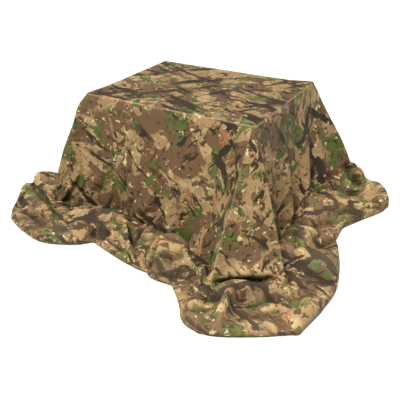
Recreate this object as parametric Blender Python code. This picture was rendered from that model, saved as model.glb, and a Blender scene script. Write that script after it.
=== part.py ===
"""Camouflage net draped over a plain box, in metres, +Z up, origin at the middle of the box's underside.

The net is one sheet. It is lofted round the box from a table of ribs: each rib leaves the top edge,
runs down the wall to its foot, and pools on the floor out to an edge that is turned under.
"""
import math

import bmesh
import bpy
import numpy as np

for old in list(bpy.data.objects):
    bpy.data.objects.remove(old)

BOX_X, BOX_Y, BOX_Z = 0.796, 0.616, 0.556
BOX_ROUND = 0.012
SHEET = 0.0024
TOP_GAP = 0.0003
SIDE_GAP = 0.0026
EDGE_ROUND = 0.009
CORNER_ROUND = 0.016
TUCK = 0.028

HALF_X = BOX_X / 2 + SIDE_GAP + SHEET / 2
HALF_Y = BOX_Y / 2 + SIDE_GAP + SHEET / 2
TOP_Z = BOX_Z + TOP_GAP + SHEET / 2
FLOOR_Z = SHEET / 2

# One row per rib, anticlockwise from the back left corner.
# side, along: where the rib leaves the top edge, along from the middle of that side; bow: how early it flares
# foot, mid, edge: plan points where the wall ends, half way over the floor, and at the outline
# foot_z, roll, dip, swell, lip: heights at the foot, at the quarters of the pool, and of the rounded edge
# hem: how far the cloth folds back under the foot; steps: columns up to the next rib
RIB_COLUMNS = ("side", "along", "bow", "foot_x", "foot_y", "foot_z", "mid_x", "mid_y", "edge_x", "edge_y",
               "roll", "dip", "swell", "lip", "hem", "steps")
RIBS = (
    ("left", 0.300, 0.30, -0.550, 0.440, 0.040, -0.640, 0.530, -0.715, 0.610, .058, .044, .056, .022, 0, 2),
    ("left", 0.230, 0.10, -0.495, 0.320, 0.010, -0.600, 0.380, -0.720, 0.430, .026, .012, .030, .016, 0, 1),
    ("left", 0.110, 0.00, -0.462, 0.150, 0.008, -0.570, 0.190, -0.695, 0.220, .056, .030, .054, .021, 0, 1),
    ("left", -0.02, 0.00, -0.450, 0.010, 0.008, -0.555, 0.030, -0.660, 0.050, .024, .010, .020, .014, 0, 1),
    ("left", -0.13, 0.00, -0.466, -0.12, 0.010, -0.585, -0.10, -0.710, -0.07, .056, .032, .054, .021, 0, 2),
    ("left", -0.22, 0.10, -0.510, -0.23, 0.012, -0.640, -0.20, -0.765, -0.18, .036, .026, .044, .022, 0, 2),
    ("left", -0.275, .30, -0.560, -0.32, 0.024, -0.690, -0.275, -.822, -0.270, .060, .060, .066, .025, 0, 3),
    ("left", -.300, .45, -0.600, -0.38, 0.030, -0.710, -0.360, -.818, -0.345, .022, .012, .014, .013, 0, 3),
    ("front", -.391, .40, -0.600, -0.40, 0.028, -0.710, -0.450, -.805, -0.450, .044, .058, .064, .025, 0, 3),
    ("front", -.372, .30, -0.575, -0.392, .018, -0.640, -0.50, -0.738, -0.578, .030, .014, .016, .015, 0, 2),
    ("front", -.345, .20, -0.545, -0.375, .014, -0.595, -0.53, -0.660, -0.642, .060, .066, .062, .024, 0, 3),
    ("front", -.285, .10, -0.470, -0.36, 0.012, -0.505, -0.54, -0.540, -0.690, .030, .044, .050, .022, 0, 3),
    ("front", -.215, .05, -0.385, -0.352, .018, -0.395, -0.53, -0.405, -0.707, .066, .046, .066, .024, 0, 3),
    ("front", -.150, .05, -0.315, -0.348, .030, -0.305, -0.50, -0.280, -0.660, .076, .048, .062, .023, 0, 3),
    ("front", -.105, .05, -0.255, -0.350, .026, -0.240, -0.485, -.212, -0.594, .070, .022, .008, .010, 0, 2),
    ("front", -.055, .05, -0.200, -0.358, .016, -0.170, -0.50, -0.140, -0.632, .070, .060, .044, .019, 0, 3),
    ("front", 0.000, .05, -0.130, -0.370, .010, -0.085, -0.52, -0.035, -0.668, .060, .070, .054, .020, 0, 3),
    ("front", 0.045, .05, -0.075, -0.374, .008, -0.020, -0.54, 0.055, -0.674, .016, .014, .030, .018, 0, 2),
    ("front", 0.085, .05, -0.015, -0.376, .010, 0.050, -0.54, 0.112, -0.662, .034, .012, .010, .010, 0, 2),
    ("front", 0.115, .05, 0.030, -0.380, .022, 0.092, -0.54, 0.140, -0.695, .060, .070, .054, .020, 0, 3),
    ("front", 0.170, .05, 0.095, -0.382, .024, 0.150, -0.53, 0.186, -0.697, .062, .078, .050, .020, 0, 3),
    ("front", 0.235, .00, 0.165, -0.400, .018, 0.205, -0.53, 0.232, -0.692, .040, .060, .036, .018, 0, 3),
    ("front", 0.290, .00, 0.230, -0.445, .020, 0.258, -0.58, 0.262, -0.702, .026, .014, .010, .010, 0, 3),
    ("front", 0.330, .00, 0.285, -0.500, .036, 0.325, -0.64, 0.330, -0.772, .072, .060, .022, .014, 0, 3),
    ("front", 0.360, .00, 0.335, -0.560, .050, 0.375, -0.70, 0.388, -0.846, .056, .020, .034, .018, 0, 3),
    ("front", 0.385, .05, 0.390, -0.630, .062, 0.430, -0.74, 0.458, -0.868, .040, .016, .044, .018, 0, 3),
    ("corner", .30, .05, 0.445, -0.590, .066, 0.490, -0.70, 0.528, -0.850, .072, .044, .064, .018, .034, 3),
    ("corner", .60, .05, 0.520, -0.535, .066, 0.575, -0.65, 0.640, -0.790, .054, .016, .056, .018, .036, 3),
    ("right", -.296, .05, 0.604, -0.460, .060, 0.680, -0.56, 0.778, -0.700, .046, .020, .050, .018, 0, 3),
    ("right", -.275, -.1, 0.525, -0.345, .022, 0.665, -0.45, 0.806, -0.540, .016, .044, .062, .018, 0, 2),
    ("right", -.235, .00, 0.470, -0.262, .012, 0.645, -0.35, 0.812, -0.395, .036, .030, .034, .016, 0, 2),
    ("right", -.185, .05, 0.474, -0.212, .012, 0.630, -0.285, .780, -0.230, .046, .054, .056, .018, 0, 3),
    ("right", -.145, .05, 0.484, -0.162, .014, 0.616, -0.225, .700, -0.062, .014, .007, .007, .010, 0, 3),
    ("right", -.100, .05, 0.476, -0.110, .046, 0.600, -0.120, .702, 0.028, .072, .086, .050, .020, 0, 3),
    ("right", -.035, .05, 0.470, -0.030, .064, 0.610, -0.02, 0.735, 0.105, .060, .050, .040, .020, 0, 3),
    ("right", 0.050, .05, 0.474, 0.070, .092, 0.635, 0.09, 0.776, 0.185, .110, .102, .060, .022, 0, 3),
    ("right", 0.160, .10, 0.490, 0.200, .104, 0.665, 0.22, 0.818, 0.265, .116, .094, .060, .022, 0, 3),
    ("right", 0.235, .15, 0.530, 0.310, .108, 0.690, 0.325, 0.826, 0.335, .070, .044, .040, .020, 0, 3),
    ("right", 0.275, .25, 0.566, 0.395, .134, 0.700, 0.400, 0.818, 0.390, .122, .094, .066, .022, 0, 2),
    ("right", 0.300, .30, 0.588, 0.435, .140, 0.680, 0.455, 0.780, 0.450, .108, .070, .056, .022, 0, 2),
    ("back", 0.388, .15, 0.510, 0.435, .030, 0.580, 0.53, 0.660, 0.560, .040, .020, .030, .017, 0, 2),
    ("back", 0.270, .00, 0.370, 0.378, .008, 0.430, 0.52, 0.480, 0.655, .060, .034, .058, .021, 0, 2),
    ("back", 0.130, .00, 0.190, 0.362, .008, 0.205, 0.49, 0.215, 0.625, .022, .010, .024, .015, 0, 2),
    ("back", -.010, .00, 0.030, 0.358, .008, 0.020, 0.48, -.010, 0.625, .056, .026, .048, .019, 0, 2),
    ("back", -.150, .00, -.140, 0.364, .010, -.180, 0.52, -.220, 0.690, .030, .014, .040, .019, 0, 2),
    ("back", -.280, .00, -.310, 0.374, .008, -.360, 0.52, -.410, 0.690, .056, .036, .060, .022, 0, 2),
    ("back", -.388, .15, -.470, 0.410, .014, -.550, 0.55, -.600, 0.665, .028, .014, .026, .016, 0, 2),
)
CRISP = (7, 9, 14, 17, 18, 22, 25, 28, 32, 37)

# Ridges and troughs on the floor: start and end in plan, half width, rise, and how far up the foot they reach.
FOLD_COLUMNS = ("x0", "y0", "x1", "y1", "width", "rise")
FOLDS = (
    (-0.770, -0.300, -0.640, -0.330, 0.026, 0.016),
    (-0.690, -0.620, -0.500, -0.600, 0.026, -.040),
    (-0.590, -0.440, -0.530, -0.600, 0.026, 0.022),
    (-0.480, -0.430, -0.380, -0.560, 0.028, -.024),
    (-0.470, -0.640, -0.330, -0.590, 0.024, -.024),
    (-0.310, -0.500, -0.150, -0.590, 0.024, -.040),
    (-0.140, -0.420, 0.010, -0.610, 0.024, 0.030),
    (-0.120, -0.570, -0.030, -0.630, 0.022, -.020),
    (0.100, -0.600, 0.220, -0.590, 0.024, -.022),
    (0.310, -0.560, 0.390, -0.700, 0.024, 0.026),
    (0.300, -0.710, 0.460, -0.715, 0.022, -.036),
    (0.478, -0.650, 0.520, -0.820, 0.026, 0.036),
    (0.560, -0.590, 0.630, -0.660, 0.020, 0.026),
    (0.640, -0.650, 0.730, -0.730, 0.026, -.026),
    (0.680, -0.470, 0.790, -0.500, 0.026, -.026),
    (0.550, -0.200, 0.620, -0.260, 0.024, -.026),
    (0.590, 0.060, 0.720, 0.170, 0.026, -.020),
    (0.730, 0.290, 0.820, 0.310, 0.020, -.026),
)

# Soft pleats down the walls: side, place along it at the top and at the foot, half width, depth, start height.
PLEAT_COLUMNS = ("side", "top", "foot", "width", "depth", "start")
PLEATS = (
    ("right", -0.150, -0.150, 0.030, -.016, 0.25),
    ("right", -0.060, -0.070, 0.026, 0.016, 0.10),
    ("right", 0.030, 0.010, 0.030, -.014, 0.20),
    ("right", 0.120, 0.120, 0.034, 0.014, 0.25),
    ("right", 0.215, 0.200, 0.030, -.014, 0.35),
    ("front", -0.300, -0.290, 0.040, -.008, 0.30),
    ("front", -0.120, -0.130, 0.050, 0.008, 0.40),
    ("front", 0.250, 0.260, 0.030, -.014, 0.30),
    ("left", 0.160, 0.150, 0.040, 0.014, 0.20),
    ("left", -0.060, -0.050, 0.045, 0.012, 0.25),
    ("back", 0.190, 0.200, 0.045, 0.014, 0.20),
    ("back", -0.080, -0.070, 0.045, 0.014, 0.25),
    ("back", -0.220, -0.210, 0.035, -.010, 0.30),
)

WALL_STEPS = (0.10, 0.28, 0.48, 0.68, 0.86, 1.0)
POOL_STEPS = (0.07, 0.14, 0.22, 0.31, 0.40, 0.49, 0.58, 0.67, 0.76, 0.85, 0.93, 1.0)
POOL_KNOTS = (0.0, 0.20, 0.42, 0.68, 1.0)
EDGE_FROM = 0.76

SIDES = {"left": ((-1, 0), (0, 1)), "front": ((0, -1), (1, 0)), "right": ((1, 0), (0, 1)), "back": ((0, 1), (1, 0))}
RUN_X = 2 * (HALF_X - CORNER_ROUND)
RUN_Y = 2 * (HALF_Y - CORNER_ROUND)
ARC = math.pi / 2 * CORNER_ROUND
LAP = 2 * (RUN_X + RUN_Y) + 4 * ARC


def lap_place(side, along):
    """Distance round the top edge, anticlockwise from the back end of the left side."""
    starts = {"left": 0, "front": RUN_Y + ARC, "corner": RUN_Y + RUN_X + ARC, "right": RUN_Y + RUN_X + 2 * ARC,
              "back": 2 * RUN_Y + RUN_X + 3 * ARC}
    if side == "corner":
        return starts[side] + along * ARC
    half = (RUN_X if side in ("front", "back") else RUN_Y) / 2
    return starts[side] + half + (along if side in ("front", "right") else -along)


def top_frame(place):
    """Plan point on the cloth's vertical face at the top, and its outward direction."""
    place = place % LAP
    centre = np.array((CORNER_ROUND - HALF_X, HALF_Y - CORNER_ROUND))
    out = np.array((-1.0, 0.0))
    for length in (RUN_Y, RUN_X, RUN_Y, RUN_X):
        run = np.array((-out[1], out[0]))
        if place <= length:
            return centre + run * place + out * CORNER_ROUND, out
        place -= length
        centre = centre + run * length
        if place <= ARC:
            turn = place / CORNER_ROUND
            out = out * math.cos(turn) + run * math.sin(turn)
            return centre + out * CORNER_ROUND, out
        place -= ARC
        out = run
    return centre + out * CORNER_ROUND, out


def through(values, crisp, lap):
    """Curve round the loop through the rib values; lap is what each value gains in one full turn."""
    values = np.asarray(values, float)
    count = len(values)
    ring = np.vstack((values[-1] - lap, values, values[0] + lap, values[1] + lap))
    rows = []
    for k in range(count):
        before, a, b, after = ring[k:k + 4]
        lead = (b - a) if k in crisp else (b - before) / 2
        trail = (b - a) if (k + 1) % count in crisp else (after - a) / 2
        steps = int(RIBS[k][-1])
        for t in np.arange(steps) / steps:
            rows.append((2 * t**3 - 3 * t**2 + 1) * a + (t**3 - 2 * t**2 + t) * lead
                        + (3 * t**2 - 2 * t**3) * b + (t**3 - t**2) * trail)
    return np.array(rows)


def fold_rise(x, y):
    total = 0.0
    for x0, y0, x1, y1, width, rise in FOLDS:
        start, run = np.array((x0, y0)), np.array((x1 - x0, y1 - y0))
        size = np.linalg.norm(run)
        along = np.dot((x, y) - start, run) / size**2
        away = abs(run[0] * (y - y0) - run[1] * (x - x0)) / size
        fade = math.exp(-(max(0.0, abs(along - 0.5) - 0.38) / 0.16) ** 2)
        total += rise * fade * (1 - 0.8 * away / width) * math.exp(-away / width)
    return total


def pleat_push(point, out, drop):
    total = 0.0
    for side, top, foot, width, depth, start in PLEATS:
        face, run = SIDES[side]
        if np.dot(face, out) < 0.8:
            continue
        here = np.dot(run, point) - (top + (foot - top) * drop)
        total += depth * math.exp(-(here / width) ** 2) * min(1.0, max(0.0, (drop - start) / 0.4))
    return total


def column(rib):
    """Points of one column of the sheet's middle surface, from the flat top to the end of the tuck."""
    top, out = rib["top"], rib["out"]
    points = []
    for turn in (0, 45, 90):
        angle = math.radians(turn)
        plan = top - out * EDGE_ROUND * (1 - math.sin(angle))
        points.append((plan[0], plan[1], TOP_Z - EDGE_ROUND * (1 - math.cos(angle))))
    foot = np.array((rib["foot_x"], rib["foot_y"]))
    wall_top = points[-1][2]
    for drop in WALL_STEPS:
        share = drop + rib["bow"] * drop * (1 - drop)
        plan = top + (foot - top) * share
        plan = plan + out * pleat_push(plan, out, drop) * min(1.0, (1.02 - drop) / 0.1)
        points.append((plan[0], plan[1], wall_top + (rib["foot_z"] - wall_top) * drop))
    mid = np.array((rib["mid_x"], rib["mid_y"]))
    edge = np.array((rib["edge_x"], rib["edge_y"]))
    away = (edge - foot) / np.linalg.norm(edge - foot)
    root = foot + away * (0.010 - rib["hem"])
    folded = min(1.0, max(0.0, rib["hem"] / 0.03))
    root_z = max(rib["foot_z"] - 0.002 - (rib["foot_z"] - 0.018) * folded, FLOOR_Z + 0.002)
    points.append((root[0], root[1], root_z))
    bend = 2 * mid - (root + edge) / 2
    heights = (root_z, rib["roll"], rib["dip"], rib["swell"], rib["swell"])
    for q in POOL_STEPS:
        plan = (1 - q) ** 2 * root + 2 * q * (1 - q) * bend + q**2 * edge
        cell = min(sum(q >= k for k in POOL_KNOTS[1:]), 3)
        share = (q - POOL_KNOTS[cell]) / (POOL_KNOTS[cell + 1] - POOL_KNOTS[cell])
        blend = (1 - math.cos(math.pi * share)) / 2
        height = heights[cell] + (heights[cell + 1] - heights[cell]) * blend
        fold = fold_rise(plan[0], plan[1]) * min(1.0, q / 0.1)
        height = max(height + fold, FLOOR_Z + 0.003)
        plan = plan + away * fold * 0.5 * q**2
        if q > EDGE_FROM:
            round_off = math.sqrt(1 - ((q - EDGE_FROM) / (1 - EDGE_FROM)) ** 2)
            height = rib["lip"] + (height - rib["lip"]) * round_off
        points.append((plan[0], plan[1], height))
    inward = (bend - edge) / np.linalg.norm(bend - edge)
    for depth, height in ((0.22, 0.38), (0.85, 0.0)):
        plan = edge + inward * rib["lip"] * depth
        points.append((plan[0], plan[1], FLOOR_Z + (rib["lip"] - FLOOR_Z) * height))
    plan = edge + inward * TUCK
    points.append((plan[0], plan[1], FLOOR_Z))
    return points


def sheet_rows():
    names = ("place",) + RIB_COLUMNS[2:-1]
    values = [(lap_place(r[0], r[1]),) + r[2:-1] for r in RIBS]
    lap = np.zeros(len(names))
    lap[0] = LAP
    columns = []
    for row in through(values, CRISP, lap):
        rib = dict(zip(names, row))
        rib["top"], rib["out"] = top_frame(rib["place"])
        columns.append(column(rib))
    return np.array(columns)


def material(name, colour, rough):
    made = bpy.data.materials.new(name)
    made.use_nodes = True
    shader = made.node_tree.nodes["Principled BSDF"]
    shader.inputs["Base Color"].default_value = (*colour, 1)
    shader.inputs["Roughness"].default_value = rough
    return made


def add_object(name, mesh, slot):
    made = bpy.data.objects.new(name, mesh)
    mesh.materials.append(slot)
    bpy.context.scene.collection.objects.link(made)
    return made


def build_net():
    middle = sheet_rows()
    count, rings = middle.shape[:2]
    skin = bmesh.new()
    grid = [[skin.verts.new(p) for p in line] for line in middle]
    for j in range(count):
        k = (j + 1) % count
        for i in range(rings - 1):
            skin.faces.new((grid[j][i], grid[j][i + 1], grid[k][i + 1], grid[k][i]))
    skin.faces.new([line[0] for line in grid])
    skin.normal_update()
    normals = {v: v.normal.copy() for v in skin.verts}
    if normals[grid[0][0]].z < 0:
        normals = {v: -n for v, n in normals.items()}
    shell = bmesh.new()
    outer = [[shell.verts.new(v.co + normals[v] * SHEET / 2) for v in line] for line in grid]
    inner = [[shell.verts.new(v.co - normals[v] * SHEET / 2) for v in line] for line in grid]
    for j in range(count):
        k = (j + 1) % count
        for i in range(rings - 1):
            shell.faces.new((outer[j][i], outer[j][i + 1], outer[k][i + 1], outer[k][i]))
            shell.faces.new((inner[j][i], inner[k][i], inner[k][i + 1], inner[j][i + 1]))
        shell.faces.new((outer[j][-1], inner[j][-1], inner[k][-1], outer[k][-1]))
    for face in (outer, inner):
        for line in face:
            line[0].co.z = TOP_Z + (SHEET / 2 if face is outer else -SHEET / 2)
    shell.faces.new([line[0] for line in outer])
    shell.faces.new([line[0] for line in reversed(inner)])
    for vert in shell.verts:
        if vert.co.z < 0.0004:
            vert.co.z = 0.0
    bmesh.ops.recalc_face_normals(shell, faces=shell.faces)
    for face in shell.faces:
        face.smooth = True
    mesh = bpy.data.meshes.new("net")
    shell.to_mesh(mesh)
    shell.free()
    skin.free()
    return add_object("net", mesh, material("net", (0.34, 0.27, 0.15), 0.8))


def build_box():
    body = bmesh.new()
    bmesh.ops.create_cube(body, size=1.0)
    bmesh.ops.scale(body, vec=(BOX_X, BOX_Y, BOX_Z), verts=body.verts)
    bmesh.ops.translate(body, vec=(0, 0, BOX_Z / 2), verts=body.verts)
    rounded = [e for e in body.edges if max(v.co.z for v in e.verts) > BOX_Z / 2]
    bmesh.ops.bevel(body, geom=rounded, offset=BOX_ROUND, segments=3, profile=0.5, affect="EDGES")
    mesh = bpy.data.meshes.new("box")
    body.to_mesh(mesh)
    body.free()
    return add_object("box", mesh, material("box", (0.50, 0.36, 0.20), 0.6))


build_net()
build_box()
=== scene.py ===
"""Camouflage net over a box: a sheet lofted on ribs close to its solid's, buckled by a short simulation."""
import math

import bpy
import mathutils
import numpy as np
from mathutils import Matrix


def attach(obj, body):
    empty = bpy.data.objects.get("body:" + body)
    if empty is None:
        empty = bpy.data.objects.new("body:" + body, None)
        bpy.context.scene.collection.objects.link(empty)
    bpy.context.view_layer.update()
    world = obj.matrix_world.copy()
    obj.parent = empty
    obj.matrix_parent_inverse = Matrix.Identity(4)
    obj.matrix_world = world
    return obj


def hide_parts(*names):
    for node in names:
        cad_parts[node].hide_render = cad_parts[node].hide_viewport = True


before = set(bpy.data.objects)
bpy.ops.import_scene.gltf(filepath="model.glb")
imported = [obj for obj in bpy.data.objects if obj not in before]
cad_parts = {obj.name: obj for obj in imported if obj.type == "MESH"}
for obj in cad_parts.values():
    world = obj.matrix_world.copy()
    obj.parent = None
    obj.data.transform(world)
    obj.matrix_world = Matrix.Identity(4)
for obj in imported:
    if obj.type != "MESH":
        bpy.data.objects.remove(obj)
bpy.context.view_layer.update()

scene = bpy.context.scene
scene.view_settings.view_transform = "Standard"

# In metres: the solid's sheet, the cloth's faces round the box, and the cloth tucked under the skirts
SHEET = 0.0024
EDGE_ROUND = 0.009
CORNER_ROUND = 0.016
TUCK = 0.090
HALF_X = 0.4018
HALF_Y = 0.3118
TOP_Z = 0.5575
FLOOR_Z = SHEET / 2

# ---------------------------------------------------------------- camera, floor and light

LENS_MM = 50
SENSOR_MM = 36
CAMERA_AT = (1.17905, -2.11949, 1.33128)
CAMERA_AIM = (0.49792, -0.91118, 0.56)

# The world is bright up to the first height of HORIZON and falls to SKY at the second
WORLD_COLOUR = (1.0, 0.96, 0.89, 1)
HORIZON = (0.10, 0.18)
SKY = 0.34

SUN_POWER = 4.4
SUN_SPREAD_DEG = 14
SUN_COLOUR = (1.0, 0.98, 0.945)
SUN_FROM = (-0.10, -0.78, 1.70)
FLOOR_REACH = 40
FLOOR_COLOUR = (0.80, 0.785, 0.755, 1)
FLOOR_CORNERS = [(x * FLOOR_REACH, y * FLOOR_REACH, 0) for x, y in ((-1, -1), (1, -1), (1, 1), (-1, 1))]


def camera():
    data = bpy.data.cameras.new("camera")
    data.lens = LENS_MM
    data.sensor_width = SENSOR_MM
    made = bpy.data.objects.new("camera", data)
    scene.collection.objects.link(made)
    eye = mathutils.Vector(CAMERA_AT)
    look = mathutils.Vector(CAMERA_AIM)
    made.location = eye
    made.rotation_euler = (eye - look).to_track_quat("Z", "Y").to_euler()
    scene.camera = made


def studio():
    world = bpy.data.worlds.new("studio")
    scene.world = world
    world.use_nodes = True
    tree = world.node_tree
    backdrop = tree.nodes["Background"]
    backdrop.inputs["Color"].default_value = WORLD_COLOUR
    height = tree.nodes.new("ShaderNodeSeparateXYZ")
    tree.links.new(tree.nodes.new("ShaderNodeTexCoord").outputs["Generated"], height.inputs[0])
    glow = tree.nodes.new("ShaderNodeMapRange")
    tree.links.new(height.outputs["Z"], glow.inputs["Value"])
    low, high = HORIZON
    for socket, value in (("From Min", low), ("From Max", high), ("To Min", 1.0), ("To Max", SKY)):
        glow.inputs[socket].default_value = value
    tree.links.new(glow.outputs[0], backdrop.inputs["Strength"])
    sun = bpy.data.lights.new("key", "SUN")
    sun.energy = SUN_POWER
    sun.angle = math.radians(SUN_SPREAD_DEG)
    sun.color = SUN_COLOUR
    key = bpy.data.objects.new("key", sun)
    scene.collection.objects.link(key)
    key.rotation_euler = mathutils.Vector(SUN_FROM).to_track_quat("Z", "Y").to_euler()
    mesh = bpy.data.meshes.new("floor")
    mesh.from_pydata(FLOOR_CORNERS, [], [(0, 1, 2, 3)])
    floor = bpy.data.objects.new("floor", mesh)
    scene.collection.objects.link(floor)
    pale = bpy.data.materials.new("pale_floor")
    pale.use_nodes = True
    shader = pale.node_tree.nodes["Principled BSDF"]
    shader.inputs["Base Color"].default_value = FLOOR_COLOUR
    shader.inputs["Roughness"].default_value = 0.9
    shader.inputs["Specular IOR Level"].default_value = 0.1
    mesh.materials.append(pale)


# ---------------------------------------------------------------- the sheet's form

# Ribs round the loop: the side and the place on it, the wall's bow and foot, the middle and the edge of the
# pool in plan, the heights of its folds and rolled edge, the hem folded under, and the steps to the next rib
RIB_COLUMNS = ("side", "along", "bow", "foot_x", "foot_y", "foot_z", "mid_x", "mid_y", "edge_x", "edge_y",
               "roll", "dip", "swell", "lip", "hem", "steps")
RIBS = (
    ("left", 0.300, 0.30, -0.550, 0.440, 0.040, -0.640, 0.530, -0.715, 0.610, .058, .044, .056, .022, 0, 4),
    ("left", 0.230, 0.10, -0.495, 0.320, 0.010, -0.600, 0.380, -0.720, 0.430, .026, .012, .030, .016, 0, 3),
    ("left", 0.110, 0.00, -0.462, 0.150, 0.008, -0.570, 0.190, -0.695, 0.220, .056, .030, .054, .021, 0, 3),
    ("left", -0.02, 0.00, -0.450, 0.010, 0.008, -0.555, 0.030, -0.660, 0.050, .024, .010, .020, .014, 0, 3),
    ("left", -0.13, 0.00, -0.466, -0.12, 0.010, -0.585, -0.10, -0.710, -0.07, .056, .032, .054, .021, 0, 4),
    ("left", -0.22, 0.10, -0.510, -0.23, 0.012, -0.640, -0.20, -0.765, -0.18, .036, .034, .048, .022, 0, 4),
    ("left", -0.275, .60, -0.575, -0.315, .024, -0.690, -0.275, -.822, -0.270, .060, .062, .074, .025, 0, 3),
    ("left", -.300, .72, -0.610, -0.37, 0.030, -0.725, -0.360, -.815, -0.345, .026, .036, .056, .018, 0, 3),
    ("front", -.391, .70, -0.605, -0.39, 0.028, -0.715, -0.450, -.786, -0.440, .044, .056, .058, .024, 0, 3),
    ("front", -.372, .45, -0.575, -0.392, .018, -0.640, -0.50, -0.716, -0.566, .030, .014, .016, .015, 0, 2),
    ("front", -.345, .20, -0.545, -0.375, .014, -0.595, -0.53, -0.652, -0.638, .060, .066, .062, .024, 0, 3),
    ("front", -.285, .10, -0.470, -0.36, 0.012, -0.505, -0.54, -0.532, -0.686, .030, .044, .050, .022, 0, 3),
    ("front", -.215, .05, -0.385, -0.352, .018, -0.395, -0.53, -0.405, -0.707, .066, .046, .066, .024, 0, 3),
    ("front", -.150, .05, -0.315, -0.348, .030, -0.305, -0.50, -0.280, -0.660, .076, .048, .062, .023, 0, 3),
    ("front", -.105, .05, -0.255, -0.350, .026, -0.240, -0.485, -.212, -0.594, .070, .022, .008, .010, 0, 2),
    ("front", -.055, .05, -0.200, -0.358, .016, -0.170, -0.50, -0.130, -0.622, .070, .060, .044, .019, 0, 3),
    ("front", 0.000, .05, -0.130, -0.370, .010, -0.085, -0.52, -0.022, -0.650, .060, .070, .054, .020, 0, 3),
    ("front", 0.045, .05, -0.075, -0.374, .008, -0.020, -0.54, 0.062, -0.664, .016, .014, .030, .018, 0, 2),
    ("front", 0.085, .05, -0.015, -0.376, .010, 0.050, -0.54, 0.112, -0.662, .034, .012, .010, .010, 0, 2),
    ("front", 0.115, .05, 0.030, -0.380, .022, 0.092, -0.54, 0.146, -0.688, .060, .070, .054, .020, 0, 3),
    ("front", 0.170, .05, 0.095, -0.382, .024, 0.150, -0.53, 0.192, -0.690, .062, .078, .050, .020, 0, 3),
    ("front", 0.235, .00, 0.165, -0.400, .018, 0.205, -0.53, 0.240, -0.688, .040, .060, .036, .018, 0, 3),
    ("front", 0.290, .00, 0.230, -0.445, .020, 0.258, -0.58, 0.262, -0.702, .026, .014, .010, .010, 0, 3),
    ("front", 0.330, .00, 0.285, -0.500, .036, 0.325, -0.64, 0.330, -0.772, .072, .060, .022, .014, 0, 3),
    ("front", 0.360, .00, 0.335, -0.560, .050, 0.375, -0.70, 0.388, -0.846, .056, .020, .034, .018, 0, 3),
    ("front", 0.385, .05, 0.390, -0.630, .062, 0.430, -0.74, 0.458, -0.868, .040, .016, .044, .018, 0, 3),
    ("corner", .30, .05, 0.445, -0.590, .066, 0.490, -0.70, 0.528, -0.850, .072, .044, .064, .018, .034, 3),
    ("corner", .60, .05, 0.520, -0.535, .066, 0.575, -0.65, 0.640, -0.790, .054, .016, .056, .018, .036, 3),
    ("right", -.296, .05, 0.604, -0.460, .060, 0.680, -0.56, 0.768, -0.705, .046, .020, .050, .018, 0, 3),
    ("right", -.275, -.1, 0.525, -0.345, .022, 0.665, -0.45, 0.797, -0.545, .016, .044, .062, .018, 0, 2),
    ("right", -.235, .00, 0.470, -0.262, .012, 0.645, -0.35, 0.803, -0.400, .036, .030, .034, .016, 0, 2),
    ("right", -.185, .05, 0.474, -0.212, .012, 0.630, -0.285, .766, -0.238, .046, .054, .056, .018, 0, 3),
    ("right", -.145, .05, 0.484, -0.162, .014, 0.616, -0.225, .700, -0.062, .014, .007, .007, .010, 0, 3),
    ("right", -.100, .05, 0.476, -0.110, .046, 0.600, -0.120, .694, 0.042, .072, .086, .050, .020, 0, 3),
    ("right", -.035, .05, 0.470, -0.030, .064, 0.610, -0.02, 0.728, 0.119, .060, .050, .040, .020, 0, 3),
    ("right", 0.050, .05, 0.474, 0.070, .092, 0.635, 0.09, 0.770, 0.197, .110, .102, .060, .022, 0, 3),
    ("right", 0.160, .10, 0.490, 0.200, .104, 0.665, 0.22, 0.812, 0.275, .116, .094, .060, .022, 0, 3),
    ("right", 0.235, .15, 0.530, 0.310, .108, 0.690, 0.325, 0.826, 0.335, .070, .044, .040, .020, 0, 3),
    ("right", 0.275, .25, 0.570, 0.398, .140, 0.700, 0.400, 0.818, 0.390, .132, .094, .066, .022, 0, 2),
    ("right", 0.300, .30, 0.592, 0.440, .150, 0.685, 0.458, 0.780, 0.450, .124, .070, .056, .022, 0, 2),
    ("back", 0.388, .15, 0.510, 0.435, .030, 0.580, 0.53, 0.660, 0.560, .040, .020, .030, .017, 0, 4),
    ("back", 0.270, .00, 0.370, 0.378, .008, 0.430, 0.52, 0.480, 0.655, .060, .034, .058, .021, 0, 4),
    ("back", 0.130, .00, 0.190, 0.362, .008, 0.205, 0.49, 0.215, 0.625, .022, .010, .024, .015, 0, 4),
    ("back", -.010, .00, 0.030, 0.358, .008, 0.020, 0.48, -.010, 0.625, .056, .026, .048, .019, 0, 4),
    ("back", -.150, .00, -.140, 0.364, .010, -.180, 0.52, -.220, 0.690, .030, .014, .040, .019, 0, 4),
    ("back", -.280, .00, -.310, 0.374, .008, -.360, 0.52, -.410, 0.690, .056, .036, .060, .022, 0, 4),
    ("back", -.388, .15, -.470, 0.410, .014, -.550, 0.55, -.600, 0.665, .028, .014, .026, .016, 0, 4),
)

# Ribs with a crisp edge, where the sheet's slope may jump
CRISP = (7, 9, 14, 17, 18, 22, 25, 28, 32, 37)

# First and last rib, where the panel starts, and the jump of the print on it
PANELS = (
    (25, 28, "top", 4.3),
    (7, 9, "foot", 2.0),
    (9, 14, "foot", 3.0),
    (14, 18, "foot", 1.4),
    (18, 22, "foot", 4.0),
    (22, 32, "foot", 4.5),
    (25, 28, "foot", -4.3),
    (32, 37, "foot", 0.6),
)

# Columns of the loft for each step that a rib counts
LOFT_FINER = 2

# Ribs at the two edges of the flap over the near corner
FLAP = (25, 28)

# Middle, push and reach of the places where the cloth stands off the box
PUFFS = (
    ((0.402, 0.312, 0.5575), (0.013, 0.004, 0.009), 0.090),
    ((-0.402, -0.312, 0.490), (-0.022, -0.012, 0.004), 0.085),
)

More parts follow.
